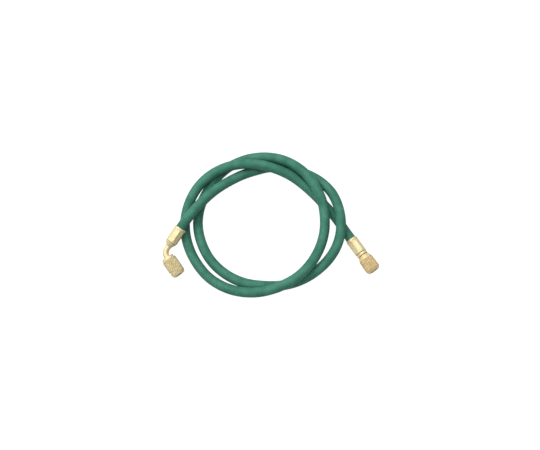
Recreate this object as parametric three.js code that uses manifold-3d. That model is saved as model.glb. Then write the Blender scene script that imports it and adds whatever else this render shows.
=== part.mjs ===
// Refrigerant charging hose: a rubber hose lying in two and a half loops, with a crimped brass
// swivel fitting on each end. One fitting is straight, the other is bent and carries a valve
// core depressor. Millimetres, +Z up, origin in the middle of the footprint on the floor.
import * as THREE from 'three';
import { mergeVertices } from 'three/addons/utils/BufferGeometryUtils.js';
import Module from 'manifold-3d';

const wasm = await Module();
wasm.setup();

// Gap between neighbouring pieces
const gap = 0.3;

// Hose
const hoseDiameter = 12.7;
const hoseBore = 6.4;
const crimpSqueeze = 0.75;
const crimpConeLength = 1.2;

// Ferrule, the same on both ends
const ferruleLength = 21.4;
const ferruleWall = 1.7;
const ferruleEndWall = 2;
const ferruleMouthEdge = 0.3;
const ferruleEndEdge = 1.2;
const bellMouthDepth = 1.6;
const crimpDepth = 0.5;
const crimpFlats = 8;
const crimpInset = 2.6;

// Stems: the barbed tail in the hose, the neck, and the flange in the nut
const stemNeckDiameter = 7.6;
const stemBore = 3.2;
const barbInset = 2;
const barbCount = 4;
const barbPitch = 3.4;
const barbDepth = 0.5;
const barbDrop = 0.3;
const stopCollarDiameter = 9.6;
const stopCollarLength = 1.4;
const shoulderDiameter = 14.2;
const straightShoulderLength = 3.5;
const shoulderEdge = 0.7;
const straightNeckLength = 0.6;
const bentShoulderLength = 6;
const bentLeadLength = 3.5;
const bendRadius = 9.5;
const bendAngle = THREE.MathUtils.degToRad(71);
const bentNeckLength = 0.5;
const flangeDiameter = 9.4;
const flangeThickness = 3;

// Swivel nuts for the 7/16-20 flare thread
const nutRearWall = 3.4;
const threadMinorDiameter = 9.9;
const threadReliefDiameter = 11.4;
const threadReliefLength = 6.2;
const threadReliefTaper = 0.6;
const mouthChamfer = 0.9;
const straightNut = {
  length: 23.7,
  collarDiameter: 14.6,
  collarLength: 1.4,
  flareLength: 4.2,
  rearBandDiameter: 18.4,
  rearBandLength: 4.2,
  frontBandDiameter: 19,
  frontBandLength: 9.8,
  noseDiameter: 15,
};
const bentNut = {
  length: 26.4,
  collarDiameter: 16,
  collarLength: 2,
  flareLength: 2,
  rearBandDiameter: 18.8,
  rearBandLength: 14.4,
  frontBandDiameter: 18.2,
  frontBandLength: 3.8,
  noseDiameter: 15,
};
const collarEdge = 0.6;
const grooveDepth = 0.7;
const grooveWidth = 1;

// Gaskets, and the depressor that the bent fitting's gasket holds
const gasketThickness = 2.2;
const gasketBore = 4;
const depressorDiameter = 5.2;
const depressorThickness = 0.9;
const depressorPinDiameter = 1.6;
const depressorReach = 1.2;
const depressorNotchDiameter = 1.7;
const depressorNotches = 3;

// Sides of the round sections
const hoseSides = 12;
const boreSides = 8;
const hoseSteps = 80;
const turnedSides = 32;
const innerSides = 24;
const bendSteps = 14;

// The hose's middle from one ferrule's mouth to the other's: x, y and height above the floor
const hoseRoute = [
  [-113.4, -8.4, 20.1],
  [-108.8, -1.8, 21.9],
  [-101.9, 7.8, 22.7],
  [-92.5, 19.6, 22.1],
  [-81.5, 32.6, 19.7],
  [-68.5, 45, 16.3],
  [-53.7, 55.9, 12.7],
  [-37.3, 65.4, 9.9],
  [-20.4, 72, 8.1],
  [-2.5, 76.8, 6.9],
  [16.7, 76.9, 6.5],
  [35.6, 71.9, 6.5],
  [53.1, 64.9, 7],
  [68.2, 53.7, 9.3],
  [79.2, 39.5, 13],
  [85.9, 21.8, 17],
  [88.8, 2.6, 20.1],
  [87.9, -15.5, 19],
  [82.2, -32.9, 15.2],
  [71.5, -48.6, 11.3],
  [56, -62.4, 8.3],
  [37, -73.1, 6.8],
  [14.6, -79.2, 6.4],
  [-10.5, -79.6, 6.4],
  [-34.5, -75.7, 6.4],
  [-56.7, -64.9, 6.4],
  [-74.9, -48.3, 6.4],
  [-87.3, -26.5, 6.4],
  [-93.1, -2.4, 6.4],
  [-91.4, 20.6, 6.4],
  [-83.1, 42.6, 6.4],
  [-70.1, 63, 6.4],
  [-52.5, 78.8, 6.5],
  [-30.4, 87.7, 8.9],
  [-8.5, 89.2, 12.65],
  [12.4, 84.6, 17.5],
  [31.1, 75.2, 19.6],
  [46.1, 62.4, 20.1],
  [57.3, 46.6, 20.1],
  [65.1, 28.6, 19.6],
  [68.5, 7.6, 18.4],
  [67.6, -13.3, 17.3],
  [61.4, -34.1, 17.4],
  [50, -53.9, 18.9],
  [33.4, -70.9, 19.6],
  [11.5, -82.9, 19.4],
  [-12.6, -89.2, 16.4],
  [-36.3, -88.4, 11.9],
  [-58.3, -81.7, 8.4],
  [-78.7, -68.5, 6.7],
  [-94.5, -49.4, 6.4],
  [-105.1, -27.4, 6.4],
  [-109.7, -4.4, 6.5],
  [-107.9, 17.6, 7.9],
  [-100.5, 37.2, 11.6],
  [-88.4, 53.2, 16.3],
  [-72.4, 65.5, 19.5],
  [-53.6, 73.8, 20.3],
  [-33.5, 77, 20.7],
  [-12.6, 75.8, 20.6],
  [7.5, 70.6, 18.7],
  [26.7, 62.6, 14.3],
  [42.8, 51.9, 9.9],
  [57.3, 39.1, 7.1],
  [70.5, 24.6, 6.4],
  [83.9, 8.5, 6.45],
  [95.3, -9.2, 7.3],
  [102.7, -20.3, 8],
].map((point) => new THREE.Vector3(...point));

// The way the bent fitting's nut points
const bentNutHeading = new THREE.Vector3(0.58, -0.81, -0.085);

// Sizes in the crimp that follow from the hose's
const crimpedHoseDiameter = hoseDiameter - 2 * crimpSqueeze;
const ferruleDiameter = crimpedHoseDiameter + 2 * (gap + ferruleWall);
const crimpAcrossFlats = ferruleDiameter - 2 * crimpDepth;

// Places that follow from the sizes, measured from the ferrule's mouth away from the hose
const ferruleInnerEnd = ferruleLength - ferruleEndWall;
const stopCollarEnd = ferruleInnerEnd - gap;
const hoseTail = stopCollarEnd - stopCollarLength - gap;
const shoulderStart = ferruleLength + gap;
const straightNutStart = shoulderStart + straightShoulderLength + straightNeckLength;
const bendStart = shoulderStart + bentShoulderLength + bentLeadLength;

// Places in the nut, measured from its rear face
const flangeStart = nutRearWall + gap;
const flangeFace = flangeStart + flangeThickness;
const gasketStart = flangeFace + gap;
const gasketEnd = gasketStart + gasketThickness;
const depressorSeatDepth = depressorThickness + 2 * gap;

const finishes = {
  rubber: new THREE.MeshStandardMaterial({ color: 0x477d6a, roughness: 0.75, metalness: 0 }),
  brass: new THREE.MeshStandardMaterial({ color: 0xd9c391, roughness: 0.35, metalness: 1 }),
  gasket: new THREE.MeshStandardMaterial({ color: 0x1c1c1c, roughness: 0.8, metalness: 0 }),
};

/** A solid that can be joined and cut, from a closed geometry. */
function solidOf(geometry) {
  const bare = geometry.clone();
  bare.deleteAttribute('normal');
  bare.deleteAttribute('uv');
  const merged = mergeVertices(bare, 1e-4);
  const corners = merged.index.array;
  const kept = [];
  for (let i = 0; i < corners.length; i += 3) {
    const [a, b, c] = corners.slice(i, i + 3);
    if (a !== b && b !== c && c !== a) {
      kept.push(a, b, c);
    }
  }
  const vertProperties = new Float32Array(merged.attributes.position.array);
  return new wasm.Manifold(new wasm.Mesh({ numProp: 3, vertProperties, triVerts: new Uint32Array(kept) }));
}

/** A named mesh of a finished solid. */
function meshOf(name, solid, material) {
  const { vertProperties, triVerts } = solid.getMesh();
  const geometry = new THREE.BufferGeometry();
  geometry.setAttribute('position', new THREE.BufferAttribute(vertProperties, 3));
  geometry.setIndex(new THREE.BufferAttribute(triVerts, 1));
  geometry.computeVertexNormals();
  const mesh = new THREE.Mesh(geometry, material);
  mesh.name = name;
  return mesh;
}

/** A solid turned about Z from an outline of [radius, height] corners that closes on itself. */
function turned(outline, sides = turnedSides) {
  const corners = outline.map(([radius, height]) => new THREE.Vector2(radius, height));
  corners.push(corners[0].clone());
  return new THREE.LatheGeometry(corners, sides).rotateX(Math.PI / 2);
}

/** A rounded outer corner of a turned outline, from the side round to the end face. */
function roundedCorner(radius, height, edge) {
  return [0, 1, 2, 3].map((step) => {
    const angle = (step / 3) * (Math.PI / 2);
    return [radius - edge * (1 - Math.cos(angle)), height - edge * (1 - Math.sin(angle))];
  });
}

/** A round bar about Z between two heights. */
function roundBar(radius, low, high, sides = innerSides) {
  const bar = new THREE.CylinderGeometry(radius, radius, high - low, sides);
  return bar.rotateX(Math.PI / 2).translate(0, 0, (low + high) / 2);
}

/** A bar of round section along a curve. */
function sweptBar(radius, curve, sides, steps) {
  const section = new THREE.Shape();
  for (let i = 0; i < sides; i += 1) {
    const angle = (2 * Math.PI * i) / sides;
    const corner = [radius * Math.cos(angle), radius * Math.sin(angle)];
    if (i === 0) {
      section.moveTo(...corner);
    } else {
      section.lineTo(...corner);
    }
  }
  return new THREE.ExtrudeGeometry(section, { steps, extrudePath: curve, bevelEnabled: false });
}

/** The bent stem's middle: straight along Z, a bend towards X, and straight again. */
class ElbowPath extends THREE.Curve {
  constructor(start, beyond) {
    super();
    this.start = start;
    this.span = bendStart - start + bendRadius * bendAngle + beyond;
  }

  getPoint(t, target = new THREE.Vector3()) {
    const along = this.start + t * this.span;
    if (along <= bendStart) {
      return target.set(0, 0, along);
    }
    const turn = Math.min((along - bendStart) / bendRadius, bendAngle);
    const rest = along - bendStart - bendRadius * turn;
    return target.set(
      bendRadius * (1 - Math.cos(turn)) + rest * Math.sin(turn),
      0,
      bendStart + bendRadius * Math.sin(turn) + rest * Math.cos(turn),
    );
  }
}

/** Where each end of the hose enters its ferrule, and the way the fitting points there. */
function hoseEnds() {
  const [first, second] = hoseRoute;
  const [beforeLast, last] = hoseRoute.slice(-2);
  return {
    bent: { mouth: first, axis: first.clone().sub(second).normalize() },
    straight: { mouth: last, axis: last.clone().sub(beforeLast).normalize() },
  };
}

/** A placement with Z along an axis and X as near as can be to a given direction. */
function placement(origin, axis, towards) {
  const z = axis.clone().normalize();
  const x = towards.clone().addScaledVector(z, -towards.dot(z)).normalize();
  const y = z.clone().cross(x);
  return new THREE.Matrix4().makeBasis(x, y, z).setPosition(origin);
}

/** The hose: one tube whose ends are squeezed thinner in the ferrules. */
function hose() {
  const ends = Object.values(hoseEnds());
  const [start, finish] = ends.map(({ mouth, axis }) => mouth.clone().addScaledVector(axis, hoseTail));
  const [outStart, outFinish] = ends.map(({ mouth, axis }) => mouth.clone().addScaledVector(axis, 2 * hoseTail));
  const along = (from, to) => new THREE.CatmullRomCurve3([from, ...hoseRoute, to], false, 'centripetal');
  let solid = solidOf(sweptBar(hoseDiameter / 2, along(start, finish), hoseSides, hoseSteps));
  const squeezed = crimpedHoseDiameter / 2;
  for (const { mouth, axis } of ends) {
    const waste = turned([
      [squeezed, bellMouthDepth + crimpConeLength],
      [hoseDiameter / 2 + gap, bellMouthDepth - gap],
      [hoseDiameter / 2 + gap, hoseTail + gap],
      [squeezed, hoseTail + gap],
    ]);
    waste.applyMatrix4(placement(mouth, axis, new THREE.Vector3(0, 0, 1)));
    solid = solid.subtract(solidOf(waste));
  }
  const bore = sweptBar(hoseBore / 2, along(outStart, outFinish), boreSides, hoseSteps);
  return solid.subtract(solidOf(bore));
}

/** A ferrule: a cup over the hose's end with a bell mouth, squeezed to flats by the crimping jaws. */
function ferrule() {
  const outer = ferruleDiameter / 2;
  const inner = crimpedHoseDiameter / 2 + gap;
  const mouth = hoseDiameter / 2 + gap;
  let solid = solidOf(turned([
    [mouth, 0],
    [outer - ferruleMouthEdge, 0],
    [outer, ferruleMouthEdge],
    ...roundedCorner(outer, ferruleLength, ferruleEndEdge),
    [stemNeckDiameter / 2 + gap, ferruleLength],
    [stemNeckDiameter / 2 + gap, ferruleInnerEnd],
    [inner, ferruleInnerEnd],
    [inner, bellMouthDepth + crimpConeLength],
    [mouth, bellMouthDepth],
  ]));
  const jawDepth = ferruleDiameter;
  const jawLength = ferruleLength - 2 * crimpInset;
  for (let i = 0; i < crimpFlats; i += 1) {
    const jaw = new THREE.BoxGeometry(jawDepth, ferruleDiameter, jawLength);
    jaw.translate((crimpAcrossFlats + jawDepth) / 2, 0, crimpInset + jawLength / 2);
    jaw.rotateZ((2 * Math.PI * i) / crimpFlats);
    solid = solid.subtract(solidOf(jaw));
  }
  return solid;
}

/** The outline of a stem's barbed tail and stop collar, up to the neck behind the ferrule's end wall. */
function barbedTail(innerRadius) {
  const crest = hoseBore / 2 - gap;
  const root = crest - barbDepth;
  const outline = [[innerRadius, barbInset], [root, barbInset]];
  for (let i = 1; i <= barbCount; i += 1) {
    const foot = barbInset + i * barbPitch;
    outline.push([crest, foot - barbDrop], [root, foot]);
  }
  const collarStart = stopCollarEnd - stopCollarLength;
  outline.push(
    [root, collarStart],
    [stopCollarDiameter / 2, collarStart],
    [stopCollarDiameter / 2, stopCollarEnd],
    [stemNeckDiameter / 2, stopCollarEnd],
  );
  return outline;
}

/** The outline of a stem's neck and flange in the nut, from the nut's rear face on. */
function flangedNeck(innerRadius, from) {
  return [
    [stemNeckDiameter / 2, from],
    [stemNeckDiameter / 2, from + flangeStart],
    [flangeDiameter / 2, from + flangeStart],
    [flangeDiameter / 2, from + flangeFace],
    [innerRadius, from + flangeFace],
  ];
}

/** The straight stem: barbed tail, round shoulder, neck and flange, with a bore right through. */
function straightStem() {
  const shoulderEnd = shoulderStart + straightShoulderLength;
  return solidOf(turned([
    ...barbedTail(stemBore / 2),
    [stemNeckDiameter / 2, shoulderStart],
    [shoulderDiameter / 2, shoulderStart],
    ...roundedCorner(shoulderDiameter / 2, shoulderEnd, shoulderEdge),
    [stemNeckDiameter / 2, shoulderEnd],
    ...flangedNeck(stemBore / 2, straightNutStart),
  ], innerSides));
}

/** The bent fitting's nut frame: past the bend, Z out along the nut. */
function bentNutPlacement() {
  const beyond = bentNeckLength;
  const origin = new THREE.Vector3(
    bendRadius * (1 - Math.cos(bendAngle)) + beyond * Math.sin(bendAngle),
    0,
    bendStart + bendRadius * Math.sin(bendAngle) + beyond * Math.cos(bendAngle),
  );
  return new THREE.Matrix4().makeRotationY(bendAngle).setPosition(origin);
}

/** The bent stem: barbed tail, tapered shoulder, bent tube and flange, with a bore right through. */
function bentStem() {
  const neck = stemNeckDiameter / 2;
  const shoulderEnd = shoulderStart + bentShoulderLength;
  const tail = turned([
    ...barbedTail(0),
    [neck, shoulderStart],
    [shoulderDiameter / 2, shoulderStart],
    [shoulderDiameter / 2, shoulderStart + shoulderEdge],
    [neck, shoulderEnd],
    [0, shoulderEnd],
  ], innerSides);
  const head = turned([[0, 0], ...flangedNeck(0, 0)], innerSides);
  head.applyMatrix4(bentNutPlacement());
  const tubeStart = shoulderStart + shoulderEdge;
  const tubeEnd = bentNeckLength + flangeStart + flangeThickness / 2;
  const tube = sweptBar(neck, new ElbowPath(tubeStart, tubeEnd), innerSides, bendSteps);
  const boreEnd = bentNeckLength + flangeFace + flangeThickness;
  const bore = sweptBar(stemBore / 2, new ElbowPath(0, boreEnd), boreSides, 2 * bendSteps);
  const seat = roundBar(depressorDiameter / 2 + gap, flangeFace - depressorSeatDepth, flangeFace + gap);
  seat.applyMatrix4(bentNutPlacement());
  return solidOf(tube).add(solidOf(tail)).add(solidOf(head)).subtract(solidOf(bore)).subtract(solidOf(seat));
}

/** A swivel nut: collar, two bands with a groove between them, nose, and the threaded socket. */
function swivelNut(sizes) {
  const collar = sizes.collarDiameter / 2;
  const rear = sizes.rearBandDiameter / 2;
  const front = sizes.frontBandDiameter / 2;
  const rearBandStart = sizes.collarLength + sizes.flareLength;
  const grooveStart = rearBandStart + sizes.rearBandLength;
  const frontBandStart = grooveStart + grooveWidth;
  const noseStart = frontBandStart + sizes.frontBandLength;
  const thread = threadMinorDiameter / 2;
  const relief = threadReliefDiameter / 2;
  const hole = stemNeckDiameter / 2 + gap;
  return solidOf(turned([
    [hole, 0],
    [collar - collarEdge, 0],
    [collar, collarEdge],
    [collar, sizes.collarLength],
    [rear, rearBandStart],
    [rear, grooveStart],
    [rear - grooveDepth, grooveStart],
    [rear - grooveDepth, frontBandStart],
    [front, frontBandStart],
    [front, noseStart],
    [sizes.noseDiameter / 2, sizes.length],
    [thread + mouthChamfer, sizes.length],
    [thread, sizes.length - mouthChamfer],
    [thread, nutRearWall + threadReliefLength + threadReliefTaper],
    [relief, nutRearWall + threadReliefLength],
    [relief, nutRearWall],
    [hole, nutRearWall],
  ]));
}

/** A flat gasket on the stem's flange face. */
function gasket() {
  return solidOf(turned([
    [gasketBore / 2, gasketStart],
    [flangeDiameter / 2, gasketStart],
    [flangeDiameter / 2, gasketEnd],
    [gasketBore / 2, gasketEnd],
  ], innerSides));
}

/** The core depressor: a notched disc in the flange's seat, with a pin through the gasket. */
function coreDepressor() {
  const discLow = flangeFace - gap - depressorThickness;
  const discHigh = flangeFace - gap;
  let solid = solidOf(roundBar(depressorDiameter / 2, discLow, discHigh));
  const pin = roundBar(depressorPinDiameter / 2, (discLow + discHigh) / 2, gasketEnd + depressorReach, boreSides);
  solid = solid.add(solidOf(pin));
  for (let i = 0; i < depressorNotches; i += 1) {
    const notch = roundBar(depressorNotchDiameter / 2, discLow - gap, discHigh + gap, boreSides);
    notch.translate(depressorDiameter / 2, 0, 0).rotateZ((2 * Math.PI * i) / depressorNotches);
    solid = solid.subtract(solidOf(notch));
  }
  return solid;
}

/** A group placed by a matrix. */
function groupAt(matrix, ...children) {
  const group = new THREE.Group();
  matrix.decompose(group.position, group.quaternion, group.scale);
  group.add(...children);
  return group;
}

/** The straight fitting at the hose's right end. */
function straightFitting({ mouth, axis }) {
  const sideways = new THREE.Vector3(-axis.y, axis.x, 0);
  return groupAt(
    placement(mouth, axis, sideways),
    meshOf('ferrule_straight_end', ferrule(), finishes.brass),
    meshOf('straight_stem', straightStem(), finishes.brass),
    groupAt(
      new THREE.Matrix4().makeTranslation(0, 0, straightNutStart),
      meshOf('swivel_nut_straight_end', swivelNut(straightNut), finishes.brass),
      meshOf('gasket_straight_end', gasket(), finishes.gasket),
    ),
  );
}

/** The bent fitting at the hose's left end. */
function bentFitting({ mouth, axis }) {
  return groupAt(
    placement(mouth, axis, bentNutHeading),
    meshOf('ferrule_bent_end', ferrule(), finishes.brass),
    meshOf('bent_stem', bentStem(), finishes.brass),
    groupAt(
      bentNutPlacement(),
      meshOf('swivel_nut_bent_end', swivelNut(bentNut), finishes.brass),
      meshOf('gasket_bent_end', gasket(), finishes.gasket),
      meshOf('core_depressor', coreDepressor(), finishes.brass),
    ),
  );
}

const chargingHose = new THREE.Group();
const { bent, straight } = hoseEnds();
chargingHose.add(
  meshOf('charging_hose', hose(), finishes.rubber),
  bentFitting(bent),
  straightFitting(straight),
);

export default chargingHose;
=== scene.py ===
"""Refrigerant charging hose: a green rubber hose lying in loops, with crimped brass swivel fittings.

One end is straight. The other is bent and carries a valve core depressor. Everything is in metres,
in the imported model's own frame: +Z up, origin in the middle of the footprint on the floor.
"""

from __future__ import annotations

import bisect
import logging
import math
from collections.abc import Callable, Sequence
from dataclasses import dataclass
from enum import Enum
from typing import Any, Protocol

import bpy
import bmesh
from mathutils import Matrix, Vector


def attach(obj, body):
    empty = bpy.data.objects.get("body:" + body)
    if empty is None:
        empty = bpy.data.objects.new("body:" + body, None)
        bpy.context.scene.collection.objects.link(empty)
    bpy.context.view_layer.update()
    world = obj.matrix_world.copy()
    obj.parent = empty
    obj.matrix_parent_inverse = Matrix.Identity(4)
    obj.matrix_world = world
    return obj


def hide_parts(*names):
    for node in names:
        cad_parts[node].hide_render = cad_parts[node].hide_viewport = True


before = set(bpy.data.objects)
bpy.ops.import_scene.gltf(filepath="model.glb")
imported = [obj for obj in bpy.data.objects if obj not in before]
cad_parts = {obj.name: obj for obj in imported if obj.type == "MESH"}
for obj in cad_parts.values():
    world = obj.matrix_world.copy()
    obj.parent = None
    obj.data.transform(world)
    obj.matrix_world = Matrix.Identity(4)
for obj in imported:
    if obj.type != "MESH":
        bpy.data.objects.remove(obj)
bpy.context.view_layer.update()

log = logging.getLogger("charging_hose")

FULL_TURN = 2 * math.pi

# The hose's middle from one ferrule's mouth to the other's, in millimetres as in the part's source
ROUTE_MM = (
    (-113.4, -8.4, 20.1), (-108.8, -1.8, 21.9), (-101.9, 7.8, 22.7), (-92.5, 19.6, 22.1),
    (-81.5, 32.6, 19.7), (-68.5, 45, 16.3), (-53.7, 55.9, 12.7), (-37.3, 65.4, 9.9),
    (-20.4, 72, 8.1), (-2.5, 76.8, 6.9), (16.7, 76.9, 6.5), (35.6, 71.9, 6.5),
    (53.1, 64.9, 7), (68.2, 53.7, 9.3), (79.2, 39.5, 13), (85.9, 21.8, 17),
    (88.8, 2.6, 20.1), (87.9, -15.5, 19), (82.2, -32.9, 15.2), (71.5, -48.6, 11.3),
    (56, -62.4, 8.3), (37, -73.1, 6.8), (14.6, -79.2, 6.4), (-10.5, -79.6, 6.4),
    (-34.5, -75.7, 6.4), (-56.7, -64.9, 6.4), (-74.9, -48.3, 6.4), (-87.3, -26.5, 6.4),
    (-93.1, -2.4, 6.4), (-91.4, 20.6, 6.4), (-83.1, 42.6, 6.4), (-70.1, 63, 6.4),
    (-52.5, 78.8, 6.5), (-30.4, 87.7, 8.9), (-8.5, 89.2, 12.65), (12.4, 84.6, 17.5),
    (31.1, 75.2, 19.6), (46.1, 62.4, 20.1), (57.3, 46.6, 20.1), (65.1, 28.6, 19.6),
    (68.5, 7.6, 18.4), (67.6, -13.3, 17.3), (61.4, -34.1, 17.4), (50, -53.9, 18.9),
    (33.4, -70.9, 19.6), (11.5, -82.9, 19.4), (-12.6, -89.2, 16.4), (-36.3, -88.4, 11.9),
    (-58.3, -81.7, 8.4), (-78.7, -68.5, 6.7), (-94.5, -49.4, 6.4), (-105.1, -27.4, 6.4),
    (-109.7, -4.4, 6.5), (-107.9, 17.6, 7.9), (-100.5, 37.2, 11.6), (-88.4, 53.2, 16.3),
    (-72.4, 65.5, 19.5), (-53.6, 73.8, 20.3), (-33.5, 77, 20.7), (-12.6, 75.8, 20.6),
    (7.5, 70.6, 18.7), (26.7, 62.6, 14.3), (42.8, 51.9, 9.9), (57.3, 39.1, 7.1),
    (70.5, 24.6, 6.4), (83.9, 8.5, 6.45), (95.3, -9.2, 7.3), (102.7, -20.3, 8),
)
ROUTE = [Vector(point) / 1000 for point in ROUTE_MM]
# Roughly where the bent nut points, which the stem's bend leans to
BENT_NUT_HEADING = Vector((0.58, -0.81, -0.085))

# Sizes that more than one piece is made to
GAP = 0.0003
HOSE_DIAMETER = 0.0127
HOSE_BORE = 0.0064
CRIMPED_HOSE_DIAMETER = 0.0112
FERRULE_LENGTH = 0.0214
FERRULE_END_WALL = 0.002
STOP_COLLAR_LENGTH = 0.0014
STEM_NECK_DIAMETER = 0.0076
STEM_BORE = 0.0032
FLANGE_DIAMETER = 0.0094
FLANGE_THICKNESS = 0.003
NUT_REAR_WALL = 0.0034
GASKET_THICKNESS = 0.0022
DEPRESSOR_DIAMETER = 0.0052
DEPRESSOR_THICKNESS = 0.0009

# Places measured from the ferrule's mouth, away from the hose
FERRULE_INNER_END = FERRULE_LENGTH - FERRULE_END_WALL
STOP_COLLAR_END = FERRULE_INNER_END - GAP
HOSE_TAIL = STOP_COLLAR_END - STOP_COLLAR_LENGTH - GAP
SHOULDER_START = FERRULE_LENGTH + GAP

# Places measured from the nut's rear face
FLANGE_START = NUT_REAR_WALL + GAP
FLANGE_FACE = FLANGE_START + FLANGE_THICKNESS
GASKET_START = FLANGE_FACE + GAP
GASKET_END = GASKET_START + GASKET_THICKNESS
DEPRESSOR_HIGH = FLANGE_FACE - GAP
DEPRESSOR_LOW = DEPRESSOR_HIGH - DEPRESSOR_THICKNESS

# Roundings of small edges, sides of a round piece, and angles in degrees past which an edge stays sharp
TINY_EDGE = 0.0001
FINE_EDGE = 0.0002
SOFT_EDGE = 0.0003
ROUND_SIDES = 64
CREASE_DEGREES = 38.0
FINE_CREASE_DEGREES = 24.0

# The name of the mesh attribute that is 1 on rubbed crests and 0 in the roots of a cut
WORN = "worn"


class Slot(Enum):
    """The record's material slots."""

    RUBBER = "hose_rubber"
    BRASS = "brass"
    KNURLED = "knurled_brass"
    GASKET = "gasket_rubber"


class Marks(Enum):
    """Which way the fine tool marks on a brass face run."""

    TURNED = "round the axis"
    DRAWN = "along the axis"


class Body(Enum):
    """The bodies that pieces ride on."""

    HOSE = "hose_assembly"
    BENT_NUT = "bent_nut"
    STRAIGHT_NUT = "straight_nut"


class Sheet:
    """A node tree being filled in, of a material or of Geometry Nodes."""

    def __init__(self, tree: bpy.types.NodeTree) -> None:
        """Keep the tree.

        Args:
            tree: The tree that nodes are added to.
        """
        self.tree = tree

    def add(
        self,
        kind: str,
        settings: dict[str, Any] | None = None,
        inputs: dict[str | int, Any] | None = None,
    ) -> bpy.types.Node:
        """Add a node, set its settings first and then its sockets.

        Args:
            kind: The node's type.
            settings: Its settings by name.
            inputs: Values or terms for its input sockets, by name or number.

        Returns:
            The new node.
        """
        node = self.tree.nodes.new(kind)
        for key, value in (settings or {}).items():
            setattr(node, key, value)
        for key, value in (inputs or {}).items():
            if isinstance(value, Term):
                self.tree.links.new(value.socket, node.inputs[key])
            else:
                node.inputs[key].default_value = value
        return node

    def term(self, node: bpy.types.Node, output: str | int = 0) -> Term:
        """One output of a node as a term."""
        return Term(self, node.outputs[output])

    def value(
        self,
        kind: str,
        settings: dict[str, Any] | None = None,
        inputs: dict[str | int, Any] | None = None,
        output: str | int = 0,
    ) -> Term:
        """Add a node and give one of its outputs as a term.

        Args:
            kind: The node's type.
            settings: Its settings by name.
            inputs: Values or terms for its input sockets.
            output: The output that is wanted, by name or number.

        Returns:
            The output as a term.
        """
        return self.term(self.add(kind, settings, inputs), output)


@dataclass(frozen=True, eq=False)
class Term:
    """A socket of a node tree that can be written into sums.

    Attributes:
        sheet: The tree that the socket belongs to.
        socket: The output socket.
    """

    sheet: Sheet
    socket: bpy.types.NodeSocket

    def _maths(self, operation: str, *values: Term | float) -> Term:
        """The result of a Math node on these values."""
        return self.sheet.value("ShaderNodeMath", {"operation": operation}, dict(enumerate(values)))

    def __add__(self, other: Term | float) -> Term:
        """The sum."""
        return self._maths("ADD", self, other)

    def __sub__(self, other: Term | float) -> Term:
        """The difference."""
        return self._maths("SUBTRACT", self, other)

    def __rsub__(self, other: float) -> Term:
        """A number less this term."""
        return self._maths("SUBTRACT", other, self)

    def __mul__(self, other: Term | float) -> Term:
        """The product."""
        return self._maths("MULTIPLY", self, other)

    def __truediv__(self, other: Term | float) -> Term:
        """The quotient."""
        return self._maths("DIVIDE", self, other)

    def wave(self) -> Term:
        """A triangle wave of this term: 0 at whole numbers and 1 half-way between them."""
        return self._maths("PINGPONG", self, 0.5) * 2.0

    def least(self, other: Term | float) -> Term:
        """The smaller of the two."""
        return self._maths("MINIMUM", self, other)

    def most(self, other: Term | float) -> Term:
        """The larger of the two."""
        return self._maths("MAXIMUM", self, other)

    def root(self) -> Term:
        """The square root."""
        return self._maths("SQRT", self)

    def above(self, limit: Term | float) -> Term:
        """1 where this term is above the limit, and 0 elsewhere."""
        return self._maths("GREATER_THAN", self, limit)

    def angle_to(self, other: Term) -> Term:
        """The angle whose tangent is this term over the other."""
        return self._maths("ARCTAN2", self, other)

    def spread(self, low: float, high: float) -> Term:
        """This term stretched so that low gives 0 and high gives 1, and held between them."""
        return self.sheet.value("ShaderNodeMapRange", {"clamp": True}, {0: self, 1: low, 2: high})

    def power(self, exponent: float) -> Term:
        """This term raised to a power."""
        return self._maths("POWER", self, exponent)


Colour = tuple[float, float, float]


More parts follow.
